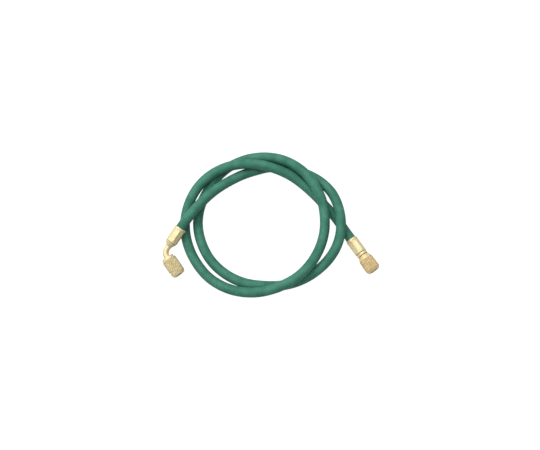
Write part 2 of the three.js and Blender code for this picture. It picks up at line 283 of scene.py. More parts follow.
class Paint:
    """A material being written: its tree, its shader, and what its patterns read."""

    def __init__(self, name: str) -> None:
        """Make an empty material with one Principled shader.

        Args:
            name: The material's name.
        """
        self.material = bpy.data.materials.new(name)
        self.material.use_nodes = True
        self.material.node_tree.nodes.clear()
        self.sheet = Sheet(self.material.node_tree)
        self.shader = self.sheet.add("ShaderNodeBsdfPrincipled")
        self.sheet.add(
            "ShaderNodeOutputMaterial", None, {"Surface": self.sheet.term(self.shader, "BSDF")}
        )
        self.place = self.sheet.value("ShaderNodeTexCoord", output="Object")

    def turns_and_run(self) -> tuple[Term, Term]:
        """The piece's own UV map.

        Returns:
            How far round the axis, in turns, and how far along the surface, in metres.
        """
        mapped = self.sheet.value("ShaderNodeUVMap", {"uv_map": "turned"})
        split = self.sheet.add("ShaderNodeSeparateXYZ", None, {0: mapped})
        return self.sheet.term(split, "X"), self.sheet.term(split, "Y")

    def noise(self, grain: float, detail: float = 3.0, roughness: float = 0.5) -> Term:
        """Soft noise through the piece.

        Args:
            grain: The size of its patches, in metres.
            detail: How many finer layers it has.
            roughness: How strong those are.

        Returns:
            The noise, about 0.5 on average.
        """
        inputs = {"Vector": self.place, "Scale": 1 / grain, "Detail": detail, "Roughness": roughness}
        return self.sheet.value("ShaderNodeTexNoise", None, inputs, "Fac")

    def lines(self, across: Term, width: float) -> Term:
        """Irregular fine lines.

        Args:
            across: The measure that runs across the lines, in metres.
            width: The width of a line, in metres.

        Returns:
            The lines, about 0.5 on average.
        """
        inputs = {"W": across / width, "Scale": 1.0, "Detail": 2.0}
        return self.sheet.value("ShaderNodeTexNoise", {"noise_dimensions": "1D"}, inputs, "Fac")

    def blend(self, amount: Term, one: Colour | Term, other: Colour | Term) -> Term:
        """Two colours mixed by a term.

        Args:
            amount: 0 for the first colour and 1 for the second.
            one: The first colour.
            other: The second colour.

        Returns:
            The mixed colour.
        """
        colours = [c if isinstance(c, Term) else (*c, 1.0) for c in (one, other)]
        inputs = {0: amount, 6: colours[0], 7: colours[1]}
        return self.sheet.value("ShaderNodeMix", {"data_type": "RGBA"}, inputs, 2)

    def relief(self, height: Term, depth: float) -> None:
        """Let a height term shape the surface's normals.

        Args:
            height: The relief, from 0 to 1.
            depth: What 1 stands for, in metres.
        """
        inputs = {"Height": height, "Distance": depth, "Strength": 1.0}
        self.set(Normal=self.sheet.value("ShaderNodeBump", None, inputs, "Normal"))

    def set(self, **sockets: Any) -> None:
        """Set or link the shader's sockets; a name's spaces are written as underscores."""
        for name, value in sockets.items():
            socket = self.shader.inputs[name.replace("_", " ")]
            if isinstance(value, Term):
                self.sheet.tree.links.new(value.socket, socket)
            elif isinstance(value, tuple) and len(value) == 3:
                socket.default_value = (*value, 1.0)
            else:
                socket.default_value = value


@dataclass(frozen=True)
class HoseRubber:
    """Matt green rubber, with the braid beneath it showing faintly as crossed lines.

    Attributes:
        light: Colour of the paler patches.
        dark: Colour of the deeper patches.
        roughness_low: Roughness where the cover is rubbed smooth.
        roughness_high: Roughness where it is dull.
        strands: Strands of the braid in one turn.
        lay: Length in which a strand goes once round.
        relief_depth: Height of the braid's lines and the grain.
        grain: Size of the grain.
        patch: Size of the patches.
        shine: How strongly the rubber mirrors.
    """

    light: Colour = (0.036, 0.144, 0.098)
    dark: Colour = (0.017, 0.09, 0.059)
    roughness_low: float = 0.52
    roughness_high: float = 0.68
    strands: int = 22
    lay: float = 0.028
    relief_depth: float = 0.00009
    grain: float = 0.0007
    patch: float = 0.014
    shine: float = 0.15

    def make(self) -> bpy.types.Material:
        """Write the material."""
        paint = Paint("green_hose_rubber")
        turns, run = paint.turns_and_run()
        one_way = (turns * self.strands + run * (self.strands / self.lay)).wave()
        other_way = (turns * self.strands - run * (self.strands / self.lay)).wave()
        braid = one_way.most(other_way)
        grain = paint.noise(self.grain, 4.0, 0.6)
        patches = paint.noise(self.patch, 3.0).spread(0.3, 0.7)
        mottle = (patches * 0.6 + grain * 0.25 + braid * 0.15).spread(0.15, 0.85)
        paint.relief(braid * 0.45 + grain * 0.55, self.relief_depth)
        span = self.roughness_high - self.roughness_low
        paint.set(
            Base_Color=paint.blend(mottle, self.dark, self.light),
            Roughness=patches * -span + grain * (0.2 * span) + self.roughness_high,
            Specular_IOR_Level=self.shine,
        )
        return paint.material


@dataclass(frozen=True)
class PaleBrass:
    """Pale machined brass with tool marks, smudges and warmer tarnish.

    Attributes:
        name: The material's name.
        pale: Colour of the clean metal.
        warm: Colour of the tarnished patches.
        root_colour: Darker colour painted into the roots of knurls and cuts.
        marks: Which way the tool marks run.
        mark_width: Width of one mark.
        mark_depth: Depth of the marks.
        roughness_low: Roughness where the metal is bright.
        roughness_high: Roughness where it is dull.
        tarnish: How much of the surface is warmer, from 0 to 1.
        smudge: Size of the smudges.
        patch: Size of the tarnished patches.
        metallic: How metallic it is, kept well under 1 to match the photograph's soft, even look.
        cut: Whether the piece has knurls or threads whose roots are painted darker.
    """

    name: str
    pale: Colour = (0.51, 0.455, 0.265)
    warm: Colour = (0.54, 0.375, 0.165)
    root_colour: Colour = (0.28, 0.2, 0.09)
    marks: Marks = Marks.TURNED
    mark_width: float = 0.00011
    mark_depth: float = 0.000006
    roughness_low: float = 0.48
    roughness_high: float = 0.64
    tarnish: float = 0.35
    smudge: float = 0.0045
    patch: float = 0.009
    metallic: float = 0.4
    cut: bool = False

    def make(self) -> bpy.types.Material:
        """Write the material."""
        paint = Paint(self.name)
        turns, run = paint.turns_and_run()
        across = run if self.marks is Marks.TURNED else turns * (math.pi * HOSE_DIAMETER)
        lines = paint.lines(across, self.mark_width)
        smudges = paint.noise(self.smudge, 3.0, 0.55)
        patches = paint.noise(self.patch, 2.0).spread(0.62 - 0.4 * self.tarnish, 0.95 - 0.4 * self.tarnish)
        colour = paint.blend(patches * 0.75, self.pale, self.warm)
        colour = paint.blend(smudges.spread(0.55, 0.8) * 0.3, colour, self.warm)
        dull = smudges.spread(0.25, 0.75)
        if self.cut:
            worn = paint.sheet.value("ShaderNodeAttribute", {"attribute_name": WORN}, None, "Fac")
            root = (1.0 - worn).power(1.5)
            # The roots of knurls and cuts are painted darker, the more so the deeper they lie
            colour = paint.blend(root * 0.75, colour, self.root_colour)
            dull = dull.most(root)
        span = self.roughness_high - self.roughness_low
        paint.relief(lines * 0.7 + smudges * 0.3, self.mark_depth)
        paint.set(
            Base_Color=colour,
            Roughness=dull * span + lines * 0.08 + (self.roughness_low - 0.04),
            Metallic=self.metallic,
        )
        return paint.material


@dataclass(frozen=True)
class GasketRubber:
    """Black moulded rubber with a dusty grain.

    Attributes:
        black: Colour of the clean rubber.
        dusty: Colour where dust has rubbed in.
        roughness: Its roughness.
        grain: Size of the grain.
        grain_depth: Height of the grain.
        dust_patch: Size of the dusty patches.
    """

    black: Colour = (0.012, 0.012, 0.013)
    dusty: Colour = (0.045, 0.043, 0.04)
    roughness: float = 0.7
    grain: float = 0.0004
    grain_depth: float = 0.00003
    dust_patch: float = 0.003

    def make(self) -> bpy.types.Material:
        """Write the material."""
        paint = Paint("black_gasket_rubber")
        grain = paint.noise(self.grain, 4.0, 0.6)
        dust = paint.noise(self.dust_patch, 3.0).spread(0.45, 0.75)
        paint.relief(grain, self.grain_depth)
        paint.set(
            Base_Color=paint.blend(dust, self.black, self.dusty),
            Roughness=grain * 0.15 + (self.roughness - 0.08),
            Specular_IOR_Level=0.35,
        )
        return paint.material


@dataclass(frozen=True)
class PaleFloor:
    """A plain studio floor with a glow of its own, which the camera sees as white.

    Attributes:
        colour: Its colour.
        glow: Strength of its own light, which keeps the background white.
    """

    colour: Colour = (0.12, 0.12, 0.12)
    glow: float = 0.97

    def make(self) -> bpy.types.Material:
        """Write the material."""
        paint = Paint("glowing_floor")
        paint.set(
            Base_Color=self.colour,
            Roughness=0.9,
            Specular_IOR_Level=0.1,
            Emission_Color=(1.0, 1.0, 1.0),
            Emission_Strength=self.glow,
        )
        return paint.material


class Axis(Protocol):
    """Something that round sections are set square to."""

    def frame_at(self, along: float) -> Matrix:
        """The frame at a place along the axis, with Z along it."""


@dataclass(frozen=True)
class Straight:
    """A straight axis along Z of its frame.

    Attributes:
        base: Its frame at place 0.
    """

    base: Matrix

    def frame_at(self, along: float) -> Matrix:
        """The frame at a place along the axis."""
        return self.base @ Matrix.Translation((0, 0, along))


@dataclass(frozen=True)
class Elbow:
    """An axis straight along Z, then bent towards X, then straight again.

    Attributes:
        base: Its frame at place 0.
        bend_start: Place where the bend begins.
        radius: Radius of the bend at the middle of the tube.
        angle: Angle of the bend.
    """

    base: Matrix
    bend_start: float
    radius: float
    angle: float

    @property
    def bend_end(self) -> float:
        """Place where the bend ends."""
        return self.bend_start + self.radius * self.angle

    def frame_at(self, along: float) -> Matrix:
        """The frame at a place along the axis."""
        turn = min(max((along - self.bend_start) / self.radius, 0.0), self.angle)
        before = min(along, self.bend_start)
        beyond = max(along - self.bend_end, 0.0)
        middle = Vector((self.radius * (1 - math.cos(turn)), 0, before + self.radius * math.sin(turn)))
        bent = Matrix.Translation(middle) @ Matrix.Rotation(turn, 4, "Y")
        return self.base @ bent @ Matrix.Translation((0, 0, beyond))


class SmoothRoute:
    """A centripetal curve through chosen points, measured along its own length."""

    def __init__(self, points: Sequence[Vector], steps: int = 24) -> None:
        """Sample the curve and carry a frame along it without twist.

        Args:
            points: The points that it goes through.
            steps: Samples between each two of them.
        """
        ends = [2 * points[0] - points[1], *points, 2 * points[-1] - points[-2]]
        self.places: list[Vector] = []
        for four in zip(ends, ends[1:], ends[2:], ends[3:]):
            self.places += [self._between(four, step / steps) for step in range(steps)]
        self.places.append(points[-1].copy())
        self.marks = [0.0]
        for here, there in zip(self.places, self.places[1:]):
            self.marks.append(self.marks[-1] + (there - here).length)
        self.length = self.marks[-1]
        self._carry_frames()

    @staticmethod
    def _between(four: tuple[Vector, Vector, Vector, Vector], t: float) -> Vector:
        """A point between the middle two of four points.

        Args:
            four: The point before, the two that the stretch joins, and the point after.
            t: How far along the stretch, from 0 to 1.

        Returns:
            The point on the centripetal curve.
        """
        before, start, end, after = four
        d0, d1, d2 = ((b - a).length ** 0.5 for a, b in zip(four, four[1:]))
        leave = ((start - before) / d0 - (end - before) / (d0 + d1) + (end - start) / d1) * d1
        arrive = ((end - start) / d1 - (after - start) / (d1 + d2) + (after - end) / d2) * d1
        square = 3 * (end - start) - 2 * leave - arrive
        cube = 2 * (start - end) + leave + arrive
        return start + t * leave + t * t * square + t * t * t * cube

    def _carry_frames(self) -> None:
        """Work out the direction and the untwisted side direction at each sample."""
        last = len(self.places) - 1
        self.heads = [
            (self.places[min(i + 1, last)] - self.places[max(i - 1, 0)]).normalized()
            for i in range(last + 1)
        ]
        side = self.heads[0].orthogonal().normalized()
        self.sides = []
        for head in self.heads:
            side = (side - side.dot(head) * head).normalized()
            self.sides.append(side)

    def frame_at(self, along: float) -> Matrix:
        """The frame at a place along the curve."""
        at = min(max(bisect.bisect_right(self.marks, along) - 1, 0), len(self.marks) - 2)
        t = (along - self.marks[at]) / (self.marks[at + 1] - self.marks[at])
        middle = self.places[at].lerp(self.places[at + 1], t)
        head = self.heads[at].lerp(self.heads[at + 1], t)
        return placement(middle, head, self.sides[at].lerp(self.sides[at + 1], t))

    def points(self, spacing: float) -> list[list[float]]:
        """Points along the curve, about so far apart, as plain lists."""
        count = max(2, round(self.length / spacing))
        return [list(self.frame_at(self.length * i / count).translation) for i in range(count + 1)]


def placement(origin: Vector, axis: Vector, towards: Vector) -> Matrix:
    """A frame with Z along an axis and X as near as can be to a direction.

    Args:
        origin: Where the frame stands.
        axis: Its Z.
        towards: What its X leans towards.

    Returns:
        The frame.
    """
    z = axis.normalized()
    x = (towards - towards.dot(z) * z).normalized()
    y = z.cross(x)
    return Matrix.Translation(origin) @ Matrix((x, y, z)).transposed().to_4x4()


@dataclass(frozen=True)
class Corner:
    """A corner of a turned outline.

    Attributes:
        radius: Distance from the axis.
        along: Place along the axis.
        rounding: Radius that the corner is rounded to, or 0 for a sharp one.
        spacing: Longest step on the stretch from here to the next corner.
    """

    radius: float
    along: float
    rounding: float = 0.0
    spacing: float = math.inf

    @property
    def point(self) -> Vector:
        """The corner as a flat vector."""
        return Vector((self.radius, self.along))


# A rounded corner's steps, the share of a side that it may take, and where, as a share of its
# radius, a ring beside it holds the flat shading
ARC_STEPS = 4
SIDE_SHARE = 0.45
HOLD_SHARE = 0.35


def rounded(corners: Sequence[Corner]) -> list[Vector]:
    """The points of a closed outline, with its corners rounded and its long stretches divided.

    Args:
        corners: The outline's corners in order.

    Returns:
        The outline's points, each a radius and a place along the axis.
    """
    count = len(corners)
    arcs = []
    for i, corner in enumerate(corners):
        back = corners[i - 1].point - corner.point
        on = corners[(i + 1) % count].point - corner.point
        if corner.rounding == 0 or back.length == 0 or on.length == 0:
            arcs.append([corner.point])
            continue
        turn = math.pi - back.angle(on)
        cut = min(corner.rounding * math.tan(turn / 2), SIDE_SHARE * back.length, SIDE_SHARE * on.length)
        start = corner.point + back.normalized() * cut
        end = corner.point + on.normalized() * cut
        steps = [step / ARC_STEPS for step in range(ARC_STEPS + 1)]
        arcs.append([start.lerp(corner.point, t).lerp(corner.point.lerp(end, t), t) for t in steps])
    points = []
    for i, arc in enumerate(arcs):
        after = arcs[(i + 1) % count]
        points += arc
        stretch = after[0] - arc[-1]
        holds = [HOLD_SHARE * corners[k % count].rounding for k in (i, i + 1)]
        if stretch.length < 3 * max(*holds, 1e-6):
            holds = [0.0, 0.0]
        inner = stretch.length - sum(holds)
        divisions = max(1, math.ceil(inner / corners[i].spacing))
        places = [holds[0] + inner * k / divisions for k in range(divisions + 1)]
        kept = places[0 if holds[0] else 1:None if holds[1] else -1]
        points += [arc[-1] + stretch.normalized() * place for place in kept]
    return points


def sweep(
    name: str,
    axis: Axis,
    corners: Sequence[Corner],
    sides: int,
    reshape: Callable[[float, float, float], float] | None = None,
) -> bpy.types.Object:
    """A closed skin: an outline turned about an axis, straight or not.

    Args:
        name: The piece's name.
        axis: What the round sections are set square to.
        corners: The outline's corners, the outer side running forward along the axis.
        sides: Divisions round the axis.
        reshape: Gives a new radius from a radius, a place along the axis and an angle.

    Returns:
        The new object, with a UV map of turns and metres along the outline.
    """
    outline = rounded(corners)
    runs = [0.0]
    for here, there in zip(outline, [*outline[1:], outline[0]]):
        runs.append(runs[-1] + (there - here).length)
    verts = []
    for radius, along in outline:
        at = axis.frame_at(along)
        for j in range(sides):
            angle = FULL_TURN * j / sides
            shaped = reshape(radius, along, angle) if reshape else radius
            verts.append(at @ Vector((shaped * math.cos(angle), shaped * math.sin(angle), 0)))
    faces = []
    uvs: list[float] = []
    rings = len(outline)
    for i in range(rings):
        low, high = i * sides, (i + 1) % rings * sides
        for j in range(sides):
            k = (j + 1) % sides
            faces.append((low + j, low + k, high + k, high + j))
            left, right = j / sides, (j + 1) / sides
            uvs += (left, runs[i], right, runs[i], right, runs[i + 1], left, runs[i + 1])
    mesh = bpy.data.meshes.new(name)
    mesh.from_pydata(verts, [], faces)
    mesh.uv_layers.new(name="turned").data.foreach_set("uv", uvs)
    if any(corner.radius == 0 for corner in corners):
        close_poles(mesh)
    mesh.update()
    piece = bpy.data.objects.new(name, mesh)
    bpy.context.scene.collection.objects.link(piece)
    return piece


def close_poles(mesh: bpy.types.Mesh) -> None:
    """Draw each ring of no radius together into one point."""
    work = bmesh.new()
    work.from_mesh(mesh)
    bmesh.ops.remove_doubles(work, verts=work.verts, dist=1e-8)
    work.to_mesh(mesh)
    work.free()


def finish_piece(
    piece: bpy.types.Object,
    material: bpy.types.Material,
    body: Body,
    node: str,
    crease: float = CREASE_DEGREES,
) -> bpy.types.Object:
    """Shade a piece, dress it, and put it in its node's place on its body.

    Args:
        piece: The piece, with its place in its mesh.
        material: Its finish.
        body: The body that it rides on.
        node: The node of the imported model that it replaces.
        crease: Angle in degrees past which an edge stays sharp.

    Returns:
        The same piece.
    """
    mesh = piece.data
    mesh.materials.clear()
    mesh.materials.append(material)
    mesh.shade_smooth()
    mesh.set_sharp_from_angle(angle=math.radians(crease))
    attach(piece, body.value)
    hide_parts(node)
    log.info("%s: %d faces, replaces %s on %s", piece.name, len(mesh.polygons), node, body.value)
    return piece


class Cut(Enum):
    """The two kinds of helical cut on a nut."""

    KNURL = "diamond_knurl"
    THREAD = "inside_thread"


CUT_INPUTS = ("Starts", "Pitch", "Radius", "Depth", "From", "To")

# How steep the flanks of each cut are, and how far a thread's wave is lowered to leave a flat crest
KNURL_SLOPE = 1.2
THREAD_SLOPE = 1.4
THREAD_DROP = 0.2


def cutting_tree(cut: Cut) -> bpy.types.NodeTree:
    """Geometry Nodes that cut crossed helical grooves into a band, or one helix into a socket.

    Args:
        cut: The knurl or the thread.

    Returns:
        The tree, whose inputs are a blank, the cut's sizes and the finish.
    """
    tree = bpy.data.node_groups.new(cut.value, "GeometryNodeTree")
    ports = tree.interface
    ports.new_socket(name="Blank", in_out="INPUT", socket_type="NodeSocketGeometry")
    for name in CUT_INPUTS:
        ports.new_socket(name=name, in_out="INPUT", socket_type="NodeSocketFloat")
    ports.new_socket(name="Finish", in_out="INPUT", socket_type="NodeSocketMaterial")
    ports.new_socket(name="Cut", in_out="OUTPUT", socket_type="NodeSocketGeometry")
    sheet = Sheet(tree)
    given = sheet.add("NodeGroupInput")
    starts, pitch, band, depth, low, high = (sheet.term(given, name) for name in CUT_INPUTS)
    split = sheet.add("ShaderNodeSeparateXYZ", None, {0: sheet.value("GeometryNodeInputPosition")})
    x, y, z = (sheet.term(split, name) for name in "XYZ")
    radius = (x * x + y * y).root()
    turns = y.angle_to(x) / FULL_TURN
    inside = z.above(low) * (1.0 - z.above(high))
    if cut is Cut.KNURL:
        one_way = (turns * starts + (z - low) / pitch).wave()
        other_way = (turns * starts - (z - low) / pitch).wave()
        left = (one_way.least(other_way) * KNURL_SLOPE).least(1.0)
        new_radius = radius.least(band - depth + depth * left + (1.0 - inside))
    else:
        groove = ((z / pitch - turns).wave() * THREAD_SLOPE - THREAD_DROP).most(0.0).least(1.0)
        left = 1.0 - groove * (1.0 - radius.above(band + depth))
        new_radius = radius.most((band + depth * groove) * inside)
    share = new_radius / radius
    moved = sheet.value("ShaderNodeCombineXYZ", None, {0: x * share, 1: y * share, 2: z})
    known = sheet.value("GeometryNodeInputNamedAttribute", {"data_type": "FLOAT"}, {"Name": WORN})
    shaped = sheet.value(
        "GeometryNodeSetPosition", None, {"Geometry": sheet.term(given, "Blank"), "Position": moved}
    )
    rubbed = known.least(1.0 - inside * (1.0 - left))
    marked = sheet.value(
        "GeometryNodeStoreNamedAttribute",
        {"data_type": "FLOAT", "domain": "POINT"},
        {"Geometry": shaped, "Name": WORN, "Value": rubbed},
    )
    whole = sheet.value("GeometryNodeRealizeInstances", None, {"Geometry": marked})
    dressed = sheet.value(
        "GeometryNodeSetMaterial", None, {"Geometry": whole, "Material": sheet.term(given, "Finish")}
    )
    sheet.add("NodeGroupOutput", None, {"Cut": dressed})
    return tree


def run_cuts(
    piece: bpy.types.Object,
    cuts: Sequence[tuple[bpy.types.NodeTree, dict[str, float]]],
    finish: bpy.types.Material,
) -> None:
    """Run cutting trees over a blank and keep the result as its plain mesh.

    Args:
        piece: The blank, standing along Z at the origin.
        cuts: Each tree with its sizes by input name.
        finish: The material that the trees set.
    """
    worn = piece.data.attributes.new(WORN, "FLOAT", "POINT")
    worn.data.foreach_set("value", [1.0] * len(piece.data.vertices))
    for tree, sizes in cuts:
        modifier = piece.modifiers.new(tree.name, "NODES")
        modifier.node_group = tree
        for item in tree.interface.items_tree:
            if item.in_out == "INPUT" and item.name in sizes:
                modifier[item.identifier] = sizes[item.name]
            if item.in_out == "INPUT" and item.name == "Finish":
                modifier[item.identifier] = finish
    seen = piece.evaluated_get(bpy.context.evaluated_depsgraph_get())
    cut_mesh = bpy.data.meshes.new_from_object(seen)
    piece.modifiers.clear()
    blank = piece.data
    piece.data = cut_mesh
    bpy.data.meshes.remove(blank)


@dataclass(frozen=True)
class RubberHose:
    """The hose: one tube whose ends are squeezed thinner in the ferrules.

    Attributes:
        sides: Divisions round the tube.
        ring_spacing: Distance between its rings.
        bore_spacing: Distance between the rings of its bore.
        bell_depth: How far into the ferrule the hose keeps its width.
        cone_end: Place in the ferrule where it is squeezed.
        bulge: How much the cover stands out before the ferrule's mouth.
        bulge_length: Length of that bulge.
        path_spacing: Distance between the points that declare works out along the path.
    """

    sides: int = 48
    ring_spacing: float = 0.0018
    bore_spacing: float = 0.006
    bell_depth: float = 0.0013
    cone_end: float = 0.0028
    bulge: float = 0.00012
    bulge_length: float = 0.005
    path_spacing: float = 0.003

    def route(self) -> SmoothRoute:
        """The hose's middle, from one end in its ferrule to the other."""
        starts = ROUTE[0] + (ROUTE[0] - ROUTE[1]).normalized() * HOSE_TAIL
        ends = ROUTE[-1] + (ROUTE[-1] - ROUTE[-2]).normalized() * HOSE_TAIL
        return SmoothRoute([starts, *ROUTE, ends])

    def build(self, finish: bpy.types.Material) -> bpy.types.Object:
        """Build the tube along its route.

        Args:
            finish: The rubber.

        Returns:
            The hose.
        """
        route = self.route()
        full, thin, bore = HOSE_DIAMETER / 2, CRIMPED_HOSE_DIAMETER / 2, HOSE_BORE / 2
        entering = [
            Corner(bore, 0),
            Corner(thin, 0, SOFT_EDGE),
            Corner(thin, HOSE_TAIL - self.cone_end, 0.0006),
            Corner(full, HOSE_TAIL - self.bell_depth, 0.0006),
            Corner(full + self.bulge, HOSE_TAIL + 0.3 * self.bulge_length, 0.002),
            Corner(full, HOSE_TAIL + self.bulge_length, 0.004, self.ring_spacing),
        ]
        leaving = [
            Corner(c.radius, route.length - c.along, c.rounding, self.bore_spacing)
            for c in reversed(entering)
        ]
        piece = sweep("rubber_hose", route, entering + leaving, self.sides)
        return finish_piece(piece, finish, Body.HOSE, "charging_hose")

    def declare(self) -> None:
        """Work out points along the hose's middle, which nothing then uses.
        """
        route = self.route()
        route.points(self.path_spacing)


@dataclass(frozen=True)
class Ferrule:
    """A cup over the hose's end, squeezed to flats by the crimping jaws.

    Attributes:
        wall: Its wall.
        lip_rounding: Rounding of its mouth's lip.
        end_rounding: Rounding of its closed end.
        bell_depth: Depth of the bell mouth.
        cone_length: Length of the cone behind the bell mouth.
        crimp_depth: How deep the jaws press.
        flats: Number of jaws.
        inset: Length left round at each end.
        ramp: Length in which a flat begins and ends.
        hollow: How far a flat dips in its middle.
        sides_per_flat: Divisions of the mesh in one flat.
    """

    wall: float = 0.0017
    lip_rounding: float = 0.00045
    end_rounding: float = 0.0014
    bell_depth: float = 0.0016
    cone_length: float = 0.0012
    crimp_depth: float = 0.0005
    flats: int = 8
    inset: float = 0.0026
    ramp: float = 0.0007
    hollow: float = 0.0001
    sides_per_flat: int = 16

    @property
    def outer(self) -> float:
        """Its outer radius before crimping."""
        return CRIMPED_HOSE_DIAMETER / 2 + GAP + self.wall

    def crimped(self, radius: float, along: float, angle: float) -> float:
        """The radius after crimping.

        Args:
            radius: The radius before.
            along: Place from the mouth.
            angle: Angle round the axis.

        Returns:
            The pressed radius on the outside, and the same radius inside.
        """
        if radius < self.outer - 0.5 * self.wall:
            return radius
        half = math.pi / self.flats
        off = (angle + half) % (2 * half) - half
        dip = self.hollow * math.cos(off / half * math.pi / 2)
        flat = (self.outer - self.crimp_depth - dip) / math.cos(off)
        edge = min(along - self.inset, FERRULE_LENGTH - self.inset - along) / self.ramp
        pressed = min(max(edge, 0.0), 1.0)
        pressed = pressed * pressed * (3 - 2 * pressed)
        return radius + (min(radius, flat) - radius) * pressed

    def build(self, base: Matrix, name: str, finish: bpy.types.Material, node: str) -> bpy.types.Object:
        """Build one ferrule.

        Args:
            base: The frame at its mouth, Z away from the hose.
            name: The piece's name.
            finish: The brass.
            node: The node that it replaces.

        Returns:
            The ferrule.
        """
        inner = CRIMPED_HOSE_DIAMETER / 2 + GAP
        mouth = HOSE_DIAMETER / 2 + GAP
        hole = STEM_NECK_DIAMETER / 2 + GAP
        corners = [
            Corner(mouth, 0, FINE_EDGE),
            Corner(self.outer, 0, self.lip_rounding, 0.00035),
            Corner(self.outer, FERRULE_LENGTH, self.end_rounding),
            Corner(hole, FERRULE_LENGTH, SOFT_EDGE),
            Corner(hole, FERRULE_INNER_END),
            Corner(inner, FERRULE_INNER_END),
            Corner(inner, self.bell_depth + self.cone_length, SOFT_EDGE),
            Corner(mouth, self.bell_depth, SOFT_EDGE),
        ]
        piece = sweep(name, Straight(base), corners, self.sides_per_flat * self.flats, self.crimped)
        return finish_piece(piece, finish, Body.HOSE, node, FINE_CREASE_DEGREES)


@dataclass(frozen=True)
class BarbedTail:
    """The barbed end of a stem inside the hose, with the collar that stops the ferrule.

    Attributes:
        inset: Place where the tail begins.
        count: Number of barbs.
        pitch: Distance between barbs.
        depth: Height of a barb.
        drop: Length of a barb's steep side.
        collar_diameter: Diameter of the stop collar.
    """

    inset: float = 0.002
    count: int = 4
    pitch: float = 0.0034
    depth: float = 0.0005
    drop: float = 0.0003
    collar_diameter: float = 0.0096

    def corners(self) -> list[Corner]:
        """The tail's outline up to the neck behind the ferrule's end wall."""
        crest = HOSE_BORE / 2 - GAP
        root = crest - self.depth
        outline = [Corner(STEM_BORE / 2, self.inset, TINY_EDGE), Corner(root, self.inset, TINY_EDGE)]
        for barb in range(1, self.count + 1):
            foot = self.inset + barb * self.pitch
            outline += [Corner(crest, foot - self.drop, 0.00008), Corner(root, foot)]
        collar = self.collar_diameter / 2
        collar_start = STOP_COLLAR_END - STOP_COLLAR_LENGTH
        return [
            *outline,
            Corner(root, collar_start),
            Corner(collar, collar_start, FINE_EDGE),
            Corner(collar, STOP_COLLAR_END, FINE_EDGE),
            Corner(STEM_NECK_DIAMETER / 2, STOP_COLLAR_END),
        ]


@dataclass(frozen=True)
class StraightStem:
    """The straight stem: barbed tail, round shoulder, neck and flange.

    Attributes:
        shoulder_diameter: Diameter of the shoulder behind the ferrule.
        shoulder_length: Its length.
        shoulder_rounding: Rounding of its front edge.
        neck_length: Bare neck between the shoulder and the nut.
    """

    shoulder_diameter: float = 0.0142
    shoulder_length: float = 0.0035
    shoulder_rounding: float = 0.0009
    neck_length: float = 0.0006

    @property
    def nut_start(self) -> float:
        """Place of the nut's rear face."""
        return SHOULDER_START + self.shoulder_length + self.neck_length

    def build(self, base: Matrix, finish: bpy.types.Material) -> bpy.types.Object:
        """Build the stem.

        Args:
            base: The frame at the ferrule's mouth.
            finish: The brass.

        Returns:
            The stem.
        """
        neck, shoulder = STEM_NECK_DIAMETER / 2, self.shoulder_diameter / 2
        shoulder_end = SHOULDER_START + self.shoulder_length
        corners = [
            *BarbedTail().corners(),
            Corner(neck, SHOULDER_START),
            Corner(shoulder, SHOULDER_START, SOFT_EDGE),
            Corner(shoulder, shoulder_end, self.shoulder_rounding),
            Corner(neck, shoulder_end, FINE_EDGE),
            *flange_corners(self.nut_start),
            Corner(STEM_BORE / 2, self.nut_start + FLANGE_FACE, SOFT_EDGE),
        ]
        piece = sweep("barbed_stem_straight", Straight(base), corners, ROUND_SIDES)
        return finish_piece(piece, finish, Body.HOSE, "straight_stem")


def flange_corners(nut_start: float) -> list[Corner]:
    """The outline of a stem's neck and flange in the nut.

    Args:
        nut_start: Place of the nut's rear face.

    Returns:
        The corners up to the flange's face.
    """
    neck, flange = STEM_NECK_DIAMETER / 2, FLANGE_DIAMETER / 2
    return [
        Corner(neck, nut_start + FLANGE_START, TINY_EDGE),
        Corner(flange, nut_start + FLANGE_START, SOFT_EDGE),
        Corner(flange, nut_start + FLANGE_FACE, SOFT_EDGE),
    ]


